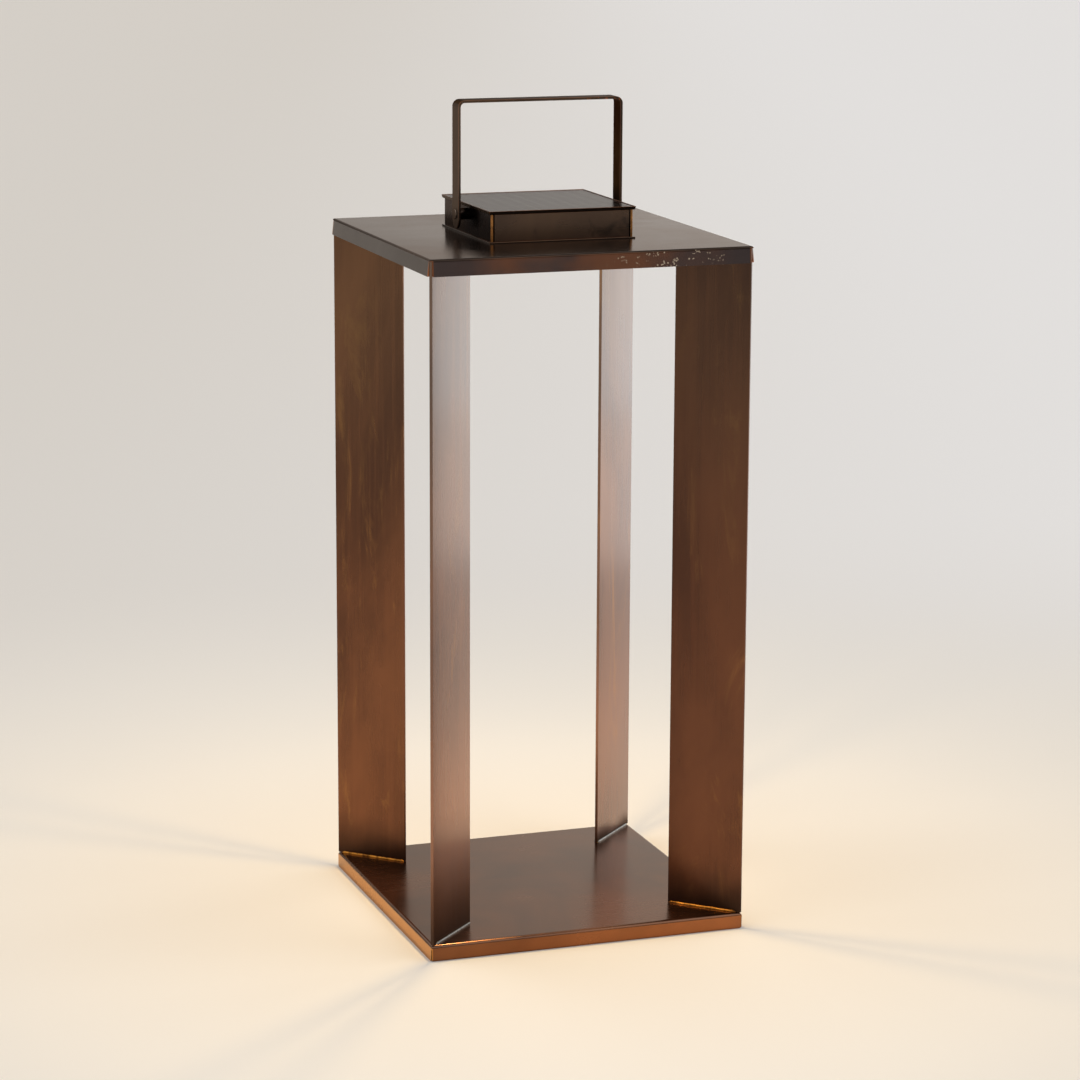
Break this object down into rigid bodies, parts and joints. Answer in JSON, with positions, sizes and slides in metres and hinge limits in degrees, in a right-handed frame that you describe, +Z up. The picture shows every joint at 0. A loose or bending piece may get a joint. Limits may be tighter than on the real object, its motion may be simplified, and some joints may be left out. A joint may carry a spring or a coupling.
{
  "type": "solar garden light",
  "caption": "Square open solar lantern: folded base tray, diagonal corner plates, flat top plate with a solar lamp housing, push button and folding strap handle.",
  "frame": {"origin": "centre of the square footprint, on the ground under the base tray's rim", "axes": "+Z up along the lantern; +X along the front side, from the left front corner to the right front corner; +Y from the front to the rear"},
  "size_m": [0.2628, 0.2628, 0.6534],
  "materials": {
    "bronze_steel": "satin",
    "housing_bronze": "satin",
    "handle_bronze": "satin",
    "weld_metal": "satin",
    "pivot_steel": "satin",
    "zinc_steel": "satin",
    "brass_spacer": "satin",
    "solar_cell": "gloss",
    "panel_laminate": "satin",
    "circuit_board": "satin",
    "black_plastic": "matte",
    "button_plastic": "satin",
    "seal_rubber": "matte",
    "diffuser_opal": "matte",
    "reflector_white": "satin",
    "aluminium_plate": "satin",
    "led_package": "satin",
    "battery_sleeve": "gloss",
    "nickel_tab": "satin",
    "lead_insulation": "satin"
  },
  "bodies": {
    "lantern": {"base_tray": "bronze_steel", "battery_leads": "lead_insulation", "battery_left": "battery_sleeve", "battery_right": "battery_sleeve", "battery_saddles": "black_plastic", "battery_tabs": "nickel_tab", "bezel_screws": "zinc_steel", "board_parts": "black_plastic", "board_screws": "zinc_steel", "board_spacers": "brass_spacer", "button_guide": "black_plastic", "control_board": "circuit_board", "diffuser": "diffuser_opal", "diffuser_bezel": "black_plastic", "diffuser_gasket": "seal_rubber", "foot_welds": "weld_metal", "head_welds": "weld_metal", "heat_spreader": "aluminium_plate", "housing_floor": "housing_bronze", "housing_screws": "zinc_steel", "housing_wall_front": "housing_bronze", "housing_wall_left": "housing_bronze", "housing_wall_rear": "housing_bronze", "housing_wall_right": "housing_bronze", "led_board": "aluminium_plate", "led_emitters": "led_package", "led_lead": "lead_insulation", "lid_spacers": "zinc_steel", "lid_tray": "housing_bronze", "module_tub": "black_plastic", "panel_cover": "panel_laminate", "panel_lead": "lead_insulation", "pivot_bush_left": "pivot_steel", "pivot_bush_right": "pivot_steel", "pivot_nut_left": "zinc_steel", "pivot_nut_right": "zinc_steel", "pivot_pin_left": "pivot_steel", "pivot_pin_right": "pivot_steel", "pivot_washer_left": "pivot_steel", "pivot_washer_right": "pivot_steel", "post_front": "bronze_steel", "post_left": "bronze_steel", "post_rear": "bronze_steel", "post_right": "bronze_steel", "reflector": "reflector_white", "solar_board": "circuit_board", "solar_cells": "solar_cell", "spreader_screws": "zinc_steel", "spreader_spacers": "brass_spacer", "switch_board": "circuit_board", "switch_lead": "lead_insulation", "switch_screws": "zinc_steel", "switch_spacers": "brass_spacer", "tact_switch": "black_plastic", "top_plate": "bronze_steel", "tub_gasket": "seal_rubber"},
    "handle": {"handle_strap": "handle_bronze"},
    "button": {"push_button": "button_plastic"}
  },
  "joints": [
    {"name": "handle_fold", "type": "hinge", "parent": "lantern", "child": "handle", "pos_m": [0, 0, 0.5645], "axis": [1, 0, 0], "range_deg": [-95, 95]},
    {"name": "button_press", "type": "slide", "parent": "lantern", "child": "button", "axis": [0, 0, 1], "range_m": [0, 0.0012], "stiffness_N_per_m": 2000, "springref_m": -0.0006}
  ]
}
